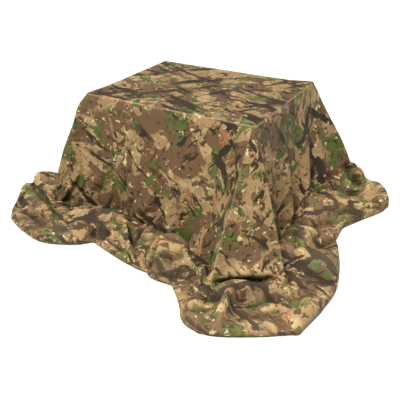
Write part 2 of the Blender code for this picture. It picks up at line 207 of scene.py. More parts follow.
# The broad folds of the pool: start and end in plan, half width, rise
FOLDS = (
    (-0.770, -0.300, -0.640, -0.330, 0.026, 0.016),
    (-0.690, -0.620, -0.500, -0.600, 0.026, -.040),
    (-0.590, -0.440, -0.530, -0.600, 0.026, 0.022),
    (-0.480, -0.430, -0.380, -0.560, 0.028, -.024),
    (-0.470, -0.640, -0.330, -0.590, 0.024, -.024),
    (-0.310, -0.500, -0.150, -0.590, 0.024, -.040),
    (-0.140, -0.420, 0.010, -0.610, 0.024, 0.030),
    (-0.120, -0.570, -0.030, -0.630, 0.022, -.020),
    (0.100, -0.600, 0.220, -0.590, 0.024, -.022),
    (0.310, -0.560, 0.390, -0.700, 0.024, 0.026),
    (0.300, -0.710, 0.460, -0.715, 0.022, -.036),
    (0.478, -0.650, 0.520, -0.820, 0.026, 0.036),
    (0.560, -0.590, 0.630, -0.660, 0.020, 0.026),
    (0.640, -0.650, 0.730, -0.730, 0.026, -.026),
    (0.680, -0.470, 0.790, -0.500, 0.026, -.026),
    (0.550, -0.200, 0.620, -0.260, 0.024, -.026),
    (0.590, 0.060, 0.720, 0.170, 0.026, -.020),
    (0.730, 0.290, 0.820, 0.310, 0.020, -.026),
)

# The sharp creases and ridges of the crumpled cloth: half width, rise, then the course in plan. On the seen
# sides, points were picked on the photograph and projected on the plan to start from.
CREASES = (
    (0.014, -.030, (-.850, -.320), (-.686, -.410), (-.581, -.456)),
    (0.012, -.030, (-.590, -.450), (-.545, -.440), (-.505, -.395)),
    (0.014, -.030, (-.700, -.600), (-.650, -.570), (-.559, -.600), (-.521, -.600), (-.457, -.622)),
    (0.012, 0.018, (-.562, -.480), (-.505, -.552), (-.456, -.605)),
    (0.012, 0.014, (-.453, -.605), (-.424, -.580), (-.370, -.550)),
    (0.012, -.020, (-.318, -.660), (-.310, -.611), (-.306, -.560)),
    (0.012, 0.020, (-.408, -.509), (-.364, -.470), (-.329, -.427), (-.280, -.404), (-.210, -.402),
     (-.143, -.425)),
    (0.012, -.016, (-.500, -.430), (-.409, -.425), (-.350, -.380), (-.300, -.372)),
    (0.013, -.032, (-.196, -.429), (-.124, -.445), (-.070, -.504), (-.044, -.525), (-.007, -.583)),
    (0.011, -.022, (-.290, -.560), (-.272, -.513), (-.233, -.490), (-.214, -.450)),
    (0.012, -.020, (-.251, -.511), (-.177, -.537), (-.127, -.570)),
    (0.012, -.018, (-.090, -.600), (-.034, -.533), (0.000, -.473), (0.037, -.425)),
    (0.012, 0.018, (0.063, -.500), (0.075, -.450), (0.112, -.420), (0.160, -.420), (0.225, -.450)),
    (0.012, -.034, (0.062, -.500), (0.078, -.580), (0.115, -.637), (0.150, -.700)),
    (0.012, -.024, (0.079, -.560), (0.127, -.570), (0.177, -.550), (0.218, -.496)),
    (0.012, -.024, (0.160, -.655), (0.220, -.665), (0.252, -.647), (0.276, -.612), (0.300, -.576)),
    (0.011, 0.018, (0.300, -.575), (0.248, -.528), (0.200, -.520)),
    (0.011, 0.020, (0.304, -.572), (0.344, -.608), (0.375, -.640)),
    (0.012, -.022, (0.240, -.690), (0.305, -.685), (0.350, -.700), (0.400, -.710), (0.442, -.684),
     (0.470, -.686)),
    (0.013, -.032, (0.470, -.686), (0.501, -.697), (0.526, -.687), (0.567, -.642), (0.600, -.617),
     (0.650, -.560)),
    (0.014, 0.026, (0.470, -.630), (0.488, -.699), (0.500, -.751), (0.503, -.800)),
    (0.011, -.014, (0.510, -.690), (0.543, -.745)),
    (0.012, -.024, (0.545, -.560), (0.527, -.609), (0.513, -.660)),
    (0.012, 0.024, (0.550, -.570), (0.593, -.615), (0.638, -.606)),
    (0.012, -.024, (0.645, -.590), (0.634, -.521), (0.640, -.450)),
    (0.012, -.016, (0.350, -.800), (0.416, -.788), (0.470, -.755)),
    (0.015, -.040, (0.560, 0.425), (0.643, 0.380), (0.705, 0.405)),
    (0.012, -.030, (0.630, 0.310), (0.664, 0.350), (0.705, 0.392)),
    (0.012, 0.018, (0.640, 0.270), (0.693, 0.250), (0.735, 0.270)),
    (0.012, -.030, (0.735, 0.350), (0.765, 0.275), (0.820, 0.310)),
    (0.012, -.024, (0.830, 0.285), (0.786, 0.245), (0.755, 0.215)),
    (0.015, -.032, (0.700, -.046), (0.659, -.138), (0.641, -.218), (0.603, -.252), (0.560, -.225)),
    (0.013, -.020, (0.510, -.040), (0.578, -.043), (0.620, 0.010), (0.675, 0.064)),
    (0.012, -.022, (0.494, -.130), (0.540, -.170), (0.579, -.240), (0.600, -.330)),
    (0.012, 0.016, (0.680, -.330), (0.740, -.400), (0.790, -.400)),
    (0.012, -.018, (0.690, -.560), (0.740, -.520), (0.800, -.510)),
    (0.013, -.024, (-.560, 0.080), (-.640, 0.120), (-.700, 0.110)),
    (0.013, 0.018, (-.500, 0.330), (-.600, 0.300), (-.690, 0.330)),
    (0.013, -.026, (-.560, 0.440), (-.640, 0.420), (-.700, 0.480)),
    (0.013, -.024, (-.540, -.130), (-.640, -.090), (-.720, -.120)),
    (0.013, -.026, (-.330, 0.480), (-.310, 0.580), (-.360, 0.680)),
    (0.013, 0.018, (-.180, 0.440), (-.130, 0.540), (-.180, 0.640)),
    (0.013, -.026, (0.040, 0.430), (0.070, 0.520), (0.030, 0.610)),
    (0.013, -.024, (0.280, 0.430), (0.330, 0.540), (0.310, 0.640)),
    (0.013, 0.018, (0.470, 0.470), (0.500, 0.540), (0.580, 0.580)),
    (0.022, 0.034, (-.440, 0.430), (-.400, 0.540), (-.460, 0.640)),
    (0.020, -.030, (-.240, 0.400), (-.330, 0.440), (-.420, 0.430)),
    (0.022, 0.034, (-.080, 0.390), (-.040, 0.500), (-.090, 0.600)),
    (0.018, -.028, (-.120, 0.560), (-.020, 0.540), (0.060, 0.580)),
    (0.022, 0.032, (0.140, 0.400), (0.170, 0.500), (0.260, 0.590)),
    (0.018, -.028, (0.200, 0.420), (0.290, 0.440), (0.380, 0.420)),
    (0.020, 0.030, (0.340, 0.460), (0.420, 0.500), (0.440, 0.600)),
    (0.022, 0.034, (-.470, -.020), (-.560, 0.010), (-.650, -.010)),
    (0.018, -.030, (-.480, 0.060), (-.520, 0.180), (-.490, 0.280)),
    (0.022, 0.034, (-.500, 0.200), (-.590, 0.220), (-.680, 0.200)),
    (0.018, -.028, (-.620, -.060), (-.660, 0.040), (-.620, 0.130)),
    (0.020, 0.030, (-.560, 0.350), (-.620, 0.470), (-.700, 0.560)),
    (0.018, -.028, (-.580, -.200), (-.680, -.190), (-.760, -.210)),
)

# Pleats in the walls: side, place at the top and foot, half width, depth, and the drop where they start
PLEATS = (
    ("right", -0.150, -0.150, 0.030, -.016, 0.25),
    ("right", -0.060, -0.070, 0.026, 0.016, 0.10),
    ("right", 0.030, 0.010, 0.030, -.014, 0.20),
    ("right", 0.120, 0.120, 0.034, 0.014, 0.25),
    ("right", 0.215, 0.200, 0.030, -.014, 0.35),
    ("front", -0.300, -0.290, 0.040, -.008, 0.30),
    ("front", -0.120, -0.130, 0.050, 0.008, 0.40),
    ("front", 0.250, 0.260, 0.030, -.014, 0.30),
    ("left", 0.160, 0.150, 0.040, 0.014, 0.20),
    ("left", -0.060, -0.050, 0.045, 0.012, 0.25),
    ("back", 0.190, 0.200, 0.045, 0.014, 0.20),
    ("back", -0.080, -0.070, 0.045, 0.014, 0.25),
    ("back", -0.220, -0.210, 0.035, -.010, 0.30),
)

# Outward direction of each side, and the direction that places on it are counted in
SIDES = {
    "left": ((-1, 0), (0, 1)),
    "front": ((0, -1), (1, 0)),
    "right": ((1, 0), (0, 1)),
    "back": ((0, 1), (1, 0)),
}
RUN_X = 2 * (HALF_X - CORNER_ROUND)
RUN_Y = 2 * (HALF_Y - CORNER_ROUND)
ARC = math.pi / 2 * CORNER_ROUND
LAP = 2 * (RUN_X + RUN_Y) + 4 * ARC

# Distance round the top edge at which each side starts
STARTS = {
    "left": 0,
    "front": RUN_Y + ARC,
    "corner": RUN_Y + RUN_X + ARC,
    "right": RUN_Y + RUN_X + 2 * ARC,
    "back": 2 * RUN_Y + RUN_X + 3 * ARC,
}


def lap_place(side, along):
    """Distance round the top edge, anticlockwise from the back end of the left side."""
    if side == "corner":
        return STARTS[side] + along * ARC
    half = (RUN_X if side in ("front", "back") else RUN_Y) / 2
    return STARTS[side] + half + (along if side in ("front", "right") else -along)


def top_frame(place):
    """Plan point on the cloth's vertical face at the top, and its outward direction."""
    place = place % LAP
    centre = np.array((CORNER_ROUND - HALF_X, HALF_Y - CORNER_ROUND))
    out = np.array((-1.0, 0.0))
    for length in (RUN_Y, RUN_X, RUN_Y, RUN_X):
        run = np.array((-out[1], out[0]))
        if place <= length:
            return centre + run * place + out * CORNER_ROUND, out
        place -= length
        centre = centre + run * length
        if place <= ARC:
            turn = place / CORNER_ROUND
            out = out * math.cos(turn) + run * math.sin(turn)
            return centre + out * CORNER_ROUND, out
        place -= ARC
        out = run
    return centre + out * CORNER_ROUND, out


def through(values, crisp, lap, finer):
    """Curve round the loop through the rib values; lap is what each value gains in one full turn."""
    values = np.asarray(values, float)
    count = len(values)
    ring = np.vstack((values[-1] - lap, values, values[0] + lap, values[1] + lap))
    rows = []
    for k in range(count):
        before, a, b, after = ring[k:k + 4]
        lead = (b - a) if k in crisp else (b - before) / 2
        trail = (b - a) if (k + 1) % count in crisp else (after - a) / 2
        steps = int(RIBS[k][-1] * finer)
        for t in np.arange(steps) / steps:
            rows.append((2 * t**3 - 3 * t**2 + 1) * a + (t**3 - 2 * t**2 + t) * lead
                        + (3 * t**2 - 2 * t**3) * b + (t**3 - t**2) * trail)
    return np.array(rows)


def fold_rise(plan, folds):
    """Height that the ridges and troughs add at each plan point; plan is (..., 2)."""
    total = np.zeros(plan.shape[:-1])
    for x0, y0, x1, y1, width, rise in folds:
        start, run = np.array((x0, y0)), np.array((x1 - x0, y1 - y0))
        size = np.linalg.norm(run)
        rel = plan - start
        along = rel @ run / size**2
        away = np.abs(run[0] * rel[..., 1] - run[1] * rel[..., 0]) / size
        fade = np.exp(-(np.maximum(0, np.abs(along - 0.5) - 0.38) / 0.16) ** 2)
        total += rise * fade * (1 - 0.8 * away / width) * np.exp(-away / width)
    return total


def pleat_push(point, out, drop):
    """How far the pleats push a point of the wall outwards."""
    total = 0.0
    for side, top, foot, width, depth, start in PLEATS:
        face, run = SIDES[side]
        if np.dot(face, out) < 0.8:
            continue
        here = np.dot(run, point) - (top + (foot - top) * drop)
        total += depth * math.exp(-(here / width) ** 2) * min(1.0, max(0.0, (drop - start) / 0.4))
    return total


TOP_RINGS = 11
INNER_SHARE = 0.08
EDGE_TURNS = (0, 22.5, 45, 67.5, 90)
WALL_STEPS = np.linspace(0, 1, 27)[1:]

# Share of the pool's length where its edge starts to round off
EDGE_FROM = 0.76
EDGE_STEPS = np.sin(np.linspace(0, math.pi / 2, 9)[1:])
POOL_STEPS = np.concatenate((np.linspace(0, EDGE_FROM, 20)[1:], EDGE_FROM + 0.24 * EDGE_STEPS))
POOL_KNOTS = (0.0, 0.20, 0.42, 0.68, 1.0)

# Rows of the loft from the middle of the top: the top edge, the wall's start and foot, and the skirt's rim
EDGE_ROW = TOP_RINGS + len(EDGE_TURNS) // 2
WALL_FROM = TOP_RINGS + len(EDGE_TURNS) - 1
WALL_TO = WALL_FROM + len(WALL_STEPS) + 1
RIM_AT = WALL_TO + len(POOL_STEPS)

# Where the wall meets the pool: the step out, how far it drops, and its height where a hem is folded under it
FOOT_STEP = 0.010
FOOT_DROP = 0.002
FOLDED_FOOT_Z = 0.018
FULL_HEM = 0.03
ROOT_CLEAR = 0.002
POOL_CLEAR = 0.003

# Depth and height of the underside of the rolled edge, as shares of the lip
LIP_CURVE = ((0.06, 0.62), (0.22, 0.30), (0.50, 0.08), (0.85, 0.0))


def column(rib):
    """Points of one column of the sheet, from the flat top to the end of the tuck."""
    top, out = rib["top"], rib["out"]
    points = []
    for turn in EDGE_TURNS:
        angle = math.radians(turn)
        plan = top - out * EDGE_ROUND * (1 - math.sin(angle))
        points.append((plan[0], plan[1], TOP_Z - EDGE_ROUND * (1 - math.cos(angle))))
    foot = np.array((rib["foot_x"], rib["foot_y"]))
    wall_top = points[-1][2]
    for drop in WALL_STEPS:
        share = drop + rib["bow"] * drop * (1 - drop)
        plan = top + (foot - top) * share
        plan = plan + out * pleat_push(plan, out, drop) * min(1.0, (1.02 - drop) / 0.1)
        points.append((plan[0], plan[1], wall_top + (rib["foot_z"] - wall_top) * drop))
    mid = np.array((rib["mid_x"], rib["mid_y"]))
    edge = np.array((rib["edge_x"], rib["edge_y"]))
    away = (edge - foot) / np.linalg.norm(edge - foot)
    root = foot + away * (FOOT_STEP - rib["hem"])
    folded = min(1.0, max(0.0, rib["hem"] / FULL_HEM))
    lowered = rib["foot_z"] - FOOT_DROP - (rib["foot_z"] - FOLDED_FOOT_Z) * folded
    root_z = max(lowered, FLOOR_Z + ROOT_CLEAR)
    points.append((root[0], root[1], root_z))
    bend = 2 * mid - (root + edge) / 2
    q = POOL_STEPS[:, None]
    path = (1 - q) ** 2 * root + 2 * q * (1 - q) * bend + q**2 * edge
    heights = np.array((root_z, rib["roll"], rib["dip"], rib["swell"], rib["swell"]))
    cell = np.searchsorted(POOL_KNOTS[1:4], POOL_STEPS, side="right")
    knots = np.array(POOL_KNOTS)
    share = (POOL_STEPS - knots[cell]) / (knots[cell + 1] - knots[cell])
    height = heights[cell] + (heights[cell + 1] - heights[cell]) * (1 - np.cos(math.pi * share)) / 2
    fold = fold_rise(path, FOLDS) * np.minimum(1.0, POOL_STEPS / 0.1)
    height = np.maximum(height + fold, FLOOR_Z + POOL_CLEAR)
    path = path + away * (fold * 0.5 * POOL_STEPS**2)[:, None]
    round_off = np.sqrt(np.maximum(0, 1 - (np.maximum(0, POOL_STEPS - EDGE_FROM) / (1 - EDGE_FROM)) ** 2))
    height = np.where(POOL_STEPS > EDGE_FROM, rib["lip"] + (height - rib["lip"]) * round_off, height)
    points.extend((x, y, z) for (x, y), z in zip(path, height))
    inward = (bend - edge) / np.linalg.norm(bend - edge)
    for depth, share in LIP_CURVE:
        plan = edge + inward * rib["lip"] * depth
        points.append((plan[0], plan[1], FLOOR_Z + (rib["lip"] - FLOOR_Z) * share))
    plan = edge + inward * TUCK
    points.append((plan[0], plan[1], FLOOR_Z))
    return points


def sheet_grid(finer):
    """The loft round the box without the inner rings of its top: one row of points for each column."""
    names = ("place",) + RIB_COLUMNS[2:-1]
    values = [(lap_place(r[0], r[1]),) + r[2:-1] for r in RIBS]
    lap = np.zeros(len(names))
    lap[0] = LAP
    columns = []
    for row in through(values, CRISP, lap, finer):
        rib = dict(zip(names, row))
        rib["top"], rib["out"] = top_frame(rib["place"])
        columns.append(column(rib))
    return np.array(columns)


def smooth_step(x, low, high):
    """Rises smoothly from 0 at low to 1 at high."""
    t = np.clip((x - low) / (high - low), 0, 1)
    return t * t * (3 - 2 * t)


def sheet_rows(finer):
    """Points of the sheet: one row for each column of the loft, from the middle of the top to the tuck."""
    grid = sheet_grid(finer)
    inner = [grid[:, 0] * np.array((f, f, 1)) for f in np.linspace(INNER_SHARE, 1, TOP_RINGS + 1)[:-1]]
    rows = np.concatenate((np.stack(inner, axis=1), grid), axis=1)
    moved = rows
    for middle, push, reach in PUFFS:
        away = np.linalg.norm(rows - np.array(middle), axis=-1, keepdims=True)
        moved = moved + np.array(push) * np.exp(-(away / reach) ** 2)
    return moved


def sheet_object(rows):
    """The mesh through the points, closed round the loop and over the middle of the top."""
    count, total = rows.shape[:2]
    faces = []
    for j in range(count):
        k = (j + 1) % count
        for i in range(total - 1):
            faces.append((j * total + i, j * total + i + 1, k * total + i + 1, k * total + i))
    faces.append(tuple(j * total for j in range(count)))
    mesh = bpy.data.meshes.new("camo_net")
    mesh.from_pydata(rows.reshape(-1, 3).tolist(), [], faces)
    mesh.update()
    for face in mesh.polygons:
        face.use_smooth = True
    made = bpy.data.objects.new("camo_net", mesh)
    scene.collection.objects.link(made)
    return made


def doubled(rows):
    """Twice as many points both ways, on the smooth curves through the points."""
    before, after, beyond = (np.roll(rows, shift, axis=0) for shift in (1, -1, -2))
    between = (9 * (rows + after) - before - beyond) / 16
    rows = np.stack((rows, between), axis=1).reshape(-1, *rows.shape[1:])
    padded = np.concatenate((rows[:, :1], rows, rows[:, -1:]), axis=1)
    between = (9 * (padded[:, 1:-2] + padded[:, 2:-1]) - padded[:, :-3] - padded[:, 3:]) / 16
    woven = np.stack((rows[:, :-1], between), axis=2).reshape(rows.shape[0], -1, 3)
    return np.concatenate((woven, rows[:, -1:]), axis=1)


FAR = 9.0


def crease_rise(plan, creases):
    """Height of the creases: a sharp line with puffed shoulders, fading towards its ends."""
    total = np.zeros(plan.shape[:-1])
    for width, rise, *course in creases:
        course = np.array(course)
        away = np.full(total.shape, FAR)
        along = np.zeros(total.shape)
        passed = 0.0
        for start, end in zip(course[:-1], course[1:]):
            run = end - start
            size = np.linalg.norm(run)
            share = np.clip((plan - start) @ run / size**2, 0, 1)
            gap = np.linalg.norm(plan - start - share[..., None] * run, axis=-1)
            along = np.where(gap < away, passed + share * size, along)
            away = np.minimum(gap, away)
            passed += size
        taper = smooth_step(np.minimum(along, passed - along) / passed, -0.08, 0.25)
        total += rise * taper * (1 - away / width) * np.exp(-away / (1.2 * width))
    return total


def normals(rows):
    """Outward direction of the sheet at each point."""
    across = np.roll(rows, -1, axis=0) - np.roll(rows, 1, axis=0)
    down = np.gradient(rows, axis=1)
    out = np.cross(down, across)
    return out / np.maximum(np.linalg.norm(out, axis=-1, keepdims=True), 1e-12)


def calmed(rows, times):
    """The sheet with each point moved towards the middle of its neighbours."""
    for _ in range(times):
        sides = np.roll(rows, 1, axis=0) + np.roll(rows, -1, axis=0)
        calm = (2 * rows[:, 1:-1] + rows[:, :-2] + rows[:, 2:] + sides[:, 1:-1]) / 6
        rows = np.concatenate((rows[:, :1], calm, rows[:, -1:]), axis=1)
    return rows


# Gain on the creases' rises, rounds of calming for the normals and for the creased sheet, the clearance from
# the floor, and the depth at which a trough's painted shade is full
CREASE_GAIN = 1.12
NORMAL_CALM = 12
CREASE_CALM = 3
CREASE_CLEAR = 0.004
DARK_DEPTH = 0.02


def creased(rows):
    """The sheet with the sharp creases pressed in along its normals, from foot to rim, and the painted shade
    of their troughs.
    """
    ring = np.arange(rows.shape[1])
    foot, rim = 2 * WALL_TO, 2 * RIM_AT
    part = smooth_step(ring, foot - 10, foot + 4) * (1 - smooth_step(ring, rim - 2, rim + 4))
    push = CREASE_GAIN * crease_rise(rows[..., :2], CREASES) * part
    moved = rows + normals(calmed(rows, NORMAL_CALM)) * push[..., None]
    moved = rows + (calmed(moved, CREASE_CALM) - rows) * part[:, None]
    moved[..., 2] = np.maximum(moved[..., 2], np.minimum(rows[..., 2], FLOOR_Z + CREASE_CLEAR))
    return moved, np.clip(-push / DARK_DEPTH, 0, 1)


def rib_columns():
    """Number of the sheet's first column at each rib."""
    return np.concatenate(((0,), np.cumsum([int(r[-1] * LOFT_FINER * 2) for r in RIBS])))


# Painted highlight and painted shade at the flap's left and right edges, a faint painted highlight between
# them, and their reach in columns
FLAP_HIGHLIGHT = (0.42, 0.30)
FLAP_SHADE = (0.85, 0.65)
FLAP_BETWEEN = 0.05
HIGHLIGHT_REACH = 1.8
SHADE_REACH = 5.0


def flap_edge(count):
    """Painted highlights along the two edges of the flap over the near corner and faintly between them, and
    the painted shade that it throws.
    """
    starts = rib_columns()
    column = np.arange(count)
    left, right = starts[FLAP[0]], starts[FLAP[1]]
    edge = (FLAP_HIGHLIGHT[0] * np.exp(-((column - left) / HIGHLIGHT_REACH) ** 2)
            + FLAP_HIGHLIGHT[1] * np.exp(-((column - right) / HIGHLIGHT_REACH) ** 2))
    edge = np.where((column > left) & (column < right), np.maximum(edge, FLAP_BETWEEN), edge)
    shade = np.where(column < left, FLAP_SHADE[0] * np.exp(-(left - column) / SHADE_REACH), 0)
    shade = np.where(column > right, FLAP_SHADE[1] * np.exp(-(column - right) / SHADE_REACH), shade)
    return edge, shade


def panels(count, rings):
    """Number of the cloth panel at each face: the print jumps where a fold hides some of the cloth."""
    starts = rib_columns()
    number = np.zeros((count, rings - 1))
    ring = np.arange(rings - 1)
    from_ring = {"top": 2 * WALL_FROM, "foot": 2 * WALL_TO}
    for first, last, start, jump in PANELS:
        number[starts[first]:starts[last]] += np.where(ring >= from_ring[start], jump, 0)
    return np.concatenate((number.ravel(), (0,)))


BLOCK_FACES = [(0, 1, 3, 2), (4, 6, 7, 5), (0, 4, 5, 1), (2, 3, 7, 6), (0, 2, 6, 4), (1, 5, 7, 3)]


def still_copy(name, low, high):
    """A plain block for the cloth to collide with while it settles."""
    corners = [(x, y, z) for x in (low[0], high[0]) for y in (low[1], high[1]) for z in (low[2], high[2])]
    mesh = bpy.data.meshes.new(name)
    mesh.from_pydata(corners, [], BLOCK_FACES)
    made = bpy.data.objects.new(name, mesh)
    scene.collection.objects.link(made)
    made.modifiers.new("collide", "COLLISION")
    made.collision.thickness_outer = 0.002
    made.collision.cloth_friction = 20
    return made


# How much larger than the loft the cloth is cut, the frames that it settles for, the farthest that a point
# may move, and what it settles on: the box and a slab for the floor, as low and high corners
SLACK = 0.075
SETTLE_FRAMES = 22
FARTHEST = 0.030
STILL_BOX = ((-0.398, -0.308, 0.0), (0.398, 0.308, 0.5555))
STILL_FLOOR = ((-1.5, -1.5, -0.2), (1.5, 1.5, -0.001))


def settle(rows, hold, slack, frames):
    """Lets the sheet buckle: its cut is a little larger than the loft, and it is held softly to its place."""
    sheet = sheet_object(rows)
    group = sheet.vertex_groups.new(name="hold")
    taut = sheet.vertex_groups.new(name="taut")
    for index, (held, spare) in enumerate(zip(hold, slack)):
        group.add([index], float(held), "REPLACE")
        taut.add([index], 1 - float(spare), "REPLACE")
    blocks = [still_copy("hidden_box", *STILL_BOX), still_copy("hidden_floor", *STILL_FLOOR)]
    cloth = sheet.modifiers.new("drape", "CLOTH")
    settings = cloth.settings
    settings.quality = 6
    settings.mass = 0.25
    settings.tension_stiffness = 25
    settings.compression_stiffness = 25
    settings.shear_stiffness = 8
    settings.bending_stiffness = 0.15
    settings.air_damping = 2
    settings.effector_weights.gravity = 0.15
    settings.vertex_group_mass = "hold"
    settings.pin_stiffness = 0.6
    settings.vertex_group_shrink = "taut"
    settings.shrink_min = -SLACK
    settings.shrink_max = 0.0
    cloth.collision_settings.collision_quality = 3
    cloth.collision_settings.distance_min = 0.003
    cloth.collision_settings.use_self_collision = False
    cloth.point_cache.frame_start = 1
    cloth.point_cache.frame_end = frames
    for number in range(1, frames + 1):
        scene.frame_set(number)
    moved = sheet.evaluated_get(bpy.context.evaluated_depsgraph_get()).to_mesh()
    after = np.empty(len(moved.vertices) * 3)
    moved.vertices.foreach_get("co", after)
    for made in blocks + [sheet]:
        bpy.data.objects.remove(made)
    scene.frame_set(1)
    return after.reshape(rows.shape)


# How firmly the cloth is held while it settles: at the wall's top, how much less at its foot, in the pool,
# and how much more towards the rim
WALL_HOLD = 0.30
WALL_EASE = 0.20
POOL_HOLD = 0.10
RIM_HOLD = 0.7


def settled(loft):
    """The loft buckled by the simulation: the top and the tuck stay, the walls and the pool give a little."""
    ring = np.arange(loft.shape[1])
    drop = (ring - WALL_FROM) / (WALL_TO - WALL_FROM)
    pool = (ring - WALL_TO) / len(POOL_STEPS)
    on_wall = WALL_HOLD - WALL_EASE * smooth_step(drop, 0.0, 0.9)
    hold = np.where(ring <= WALL_FROM, 1.0, np.where(drop < 1, on_wall, POOL_HOLD))
    hold = np.where(pool > 0.75, POOL_HOLD + RIM_HOLD * smooth_step(pool, 0.75, 1.1), hold)
    hold = np.where(ring > RIM_AT + 2, 1.0, hold)
    slack = smooth_step(drop, 0.35, 1.0)
    slack = slack * (1 - 0.9 * smooth_step(pool, 0.70, 1.0))
    shift = settle(loft, np.tile(hold, len(loft)), np.tile(slack, len(loft)), SETTLE_FRAMES) - loft
    size = np.linalg.norm(shift, axis=-1, keepdims=True)
    rows = loft + shift * np.minimum(1, FARTHEST / np.maximum(size, 1e-9))
    rows[..., 2] = np.maximum(rows[..., 2], FLOOR_Z)
    return rows


# Painted highlight along the top edge and its reach in rows, and painted sheen over the pool; the relief that
# counts in full, the gain of painted light on its ridges and painted shade in its troughs, and of painted
# light on the pool's outer part
EDGE_HIGHLIGHT = 0.9
EDGE_REACH = 2.2
POOL_SHEEN = 0.14
RELIEF = 0.010
RIDGE_GAIN = 0.26
TROUGH_GAIN = 0.38
OUTER_GAIN = 0.15


def mark(sheet, name, kind, values, domain="POINT"):
    """Keeps a value for each point or face on the sheet, for its material."""
    field = "vector" if kind == "FLOAT_VECTOR" else "value"
    sheet.data.attributes.new(name, kind, domain).data.foreach_set(field, values)


def drape():
    """The finished sheet, with the values that its material reads."""
    loft = sheet_rows(LOFT_FINER)
    rows = settled(loft)
    cut = doubled(loft)
    # The creased sheet, and the painted shade of its troughs
    rows, painted_shade = creased(doubled(rows))
    sheet = sheet_object(rows)
    mark(sheet, "cut", "FLOAT_VECTOR", cut.ravel())
    ring = np.arange(cut.shape[1])
    foot, rim = 2 * WALL_TO, 2 * RIM_AT
    # Painted highlight along the top edge where the cloth bends over it, and painted sheen over the pool
    painted_highlight = (EDGE_HIGHLIGHT * np.exp(-((ring - 2 * EDGE_ROW) / EDGE_REACH) ** 2)
            + POOL_SHEEN * smooth_step(ring, foot, foot + 22))
    lean = normals(calmed(cut, 30)) ** 2
    on_wall = smooth_step(ring, 2 * WALL_FROM, 2 * WALL_FROM + 8) * (ring < foot)
    edge, shade = flap_edge(len(cut))
    # The flap's painted highlights join the others on the walls, and its painted shade joins the troughs'
    # painted shade
    painted_highlight = np.maximum(painted_highlight, (edge[:, None] * on_wall))
    painted_shade = np.maximum(painted_shade, shade[:, None] * on_wall)
    # Painted light and shade from the relief: lighter on ridges and the pool's outer part, darker in troughs
    relief = ((rows - calmed(rows, 60)) * normals(calmed(rows, 30))).sum(axis=-1) / RELIEF
    low_part = smooth_step(ring, foot - 16, foot) * (1 - smooth_step(ring, rim - 10, rim))
    outer = OUTER_GAIN * smooth_step(ring, foot + 4, foot + 30)
    gain = 1 + low_part * (outer + np.where(relief > 0, RIDGE_GAIN, TROUGH_GAIN) * np.clip(relief, -1, 1))
    mark(sheet, "gain", "FLOAT", gain.ravel())
    mark(sheet, "painted_highlight", "FLOAT", painted_highlight.ravel())
    mark(sheet, "lean", "FLOAT_VECTOR", lean.ravel())
    mark(sheet, "painted_shade", "FLOAT", painted_shade.ravel())
    mark(sheet, "panel", "FLOAT", panels(*cut.shape[:2]), "FACE")
    return sheet


# ---------------------------------------------------------------- materials

# Sockets of the Mix node that carry colours
MIX_A, MIX_B, MIX_OUT = 6, 7, 2


def srgb(red, green, blue):
    """Linear colour of a colour named in 8-bit screen values."""
    parts = [c / 255 for c in (red, green, blue)]
    return tuple(c / 12.92 if c <= 0.04045 else ((c + 0.055) / 1.055) ** 2.4 for c in parts) + (1.0,)


def plug(tree, socket, value):
    """Links an output to the socket, or sets the socket to a plain value."""
    if isinstance(value, bpy.types.NodeSocket):
        tree.links.new(value, socket)
    else:
        socket.default_value = value


def maths(tree, operation, first, second=0.0):
    made = tree.nodes.new("ShaderNodeMath")
    made.operation = operation
    plug(tree, made.inputs[0], first)
    plug(tree, made.inputs[1], second)
    return made.outputs[0]


def blend(tree, mask, under, over):
    made = tree.nodes.new("ShaderNodeMix")
    made.data_type = "RGBA"
    plug(tree, made.inputs[0], mask)
    plug(tree, made.inputs[MIX_A], under)
    plug(tree, made.inputs[MIX_B], over)
    return made.outputs[MIX_OUT]


def attribute(tree, name, output):
    made = tree.nodes.new("ShaderNodeAttribute")
    made.attribute_name = name
    return made.outputs[output]


def place(tree, where, shift, turn=(0, 0, 0), size=(1, 1, 1)):
    """Coordinates moved, turned and stretched, so that each layer of the print lies differently."""
    made = tree.nodes.new("ShaderNodeMapping")
    made.vector_type = "TEXTURE"
    plug(tree, made.inputs["Vector"], where)
    made.inputs["Location"].default_value = shift
    made.inputs["Rotation"].default_value = tuple(math.radians(a) for a in turn)
    made.inputs["Scale"].default_value = size
    return made.outputs[0]


def noise(tree, where, scale, detail=2.0, rough=0.5, warp=0.0, output="Fac"):
    made = tree.nodes.new("ShaderNodeTexNoise")
    plug(tree, made.inputs["Vector"], where)
    made.inputs["Scale"].default_value = scale
    made.inputs["Detail"].default_value = detail
    made.inputs["Roughness"].default_value = rough
    made.inputs["Distortion"].default_value = warp
    return made.outputs[output]


def step(tree, value, level, soft=0.008):
    """Mask that is one where the value passes the level, with an edge as crisp as a print."""
    made = tree.nodes.new("ShaderNodeMapRange")
    plug(tree, made.inputs["Value"], value)
    made.inputs["From Min"].default_value = level - soft
    made.inputs["From Max"].default_value = level + soft
    return made.outputs[0]


def wander(tree, where, scale, amount):
    """Coordinates pushed about by a coarse noise, so that long strokes bend."""
    drift = noise(tree, where, scale, 2.0, 0.5, 0.0, "Color")
    centred = tree.nodes.new("ShaderNodeVectorMath")
    centred.operation = "MULTIPLY_ADD"
    plug(tree, centred.inputs[0], drift)
    centred.inputs[1].default_value = (amount, amount, amount)
    plug(tree, centred.inputs[2], where)
    return centred.outputs[0]


STROKE_SIZE = (10.0, 1.0, 1.0)


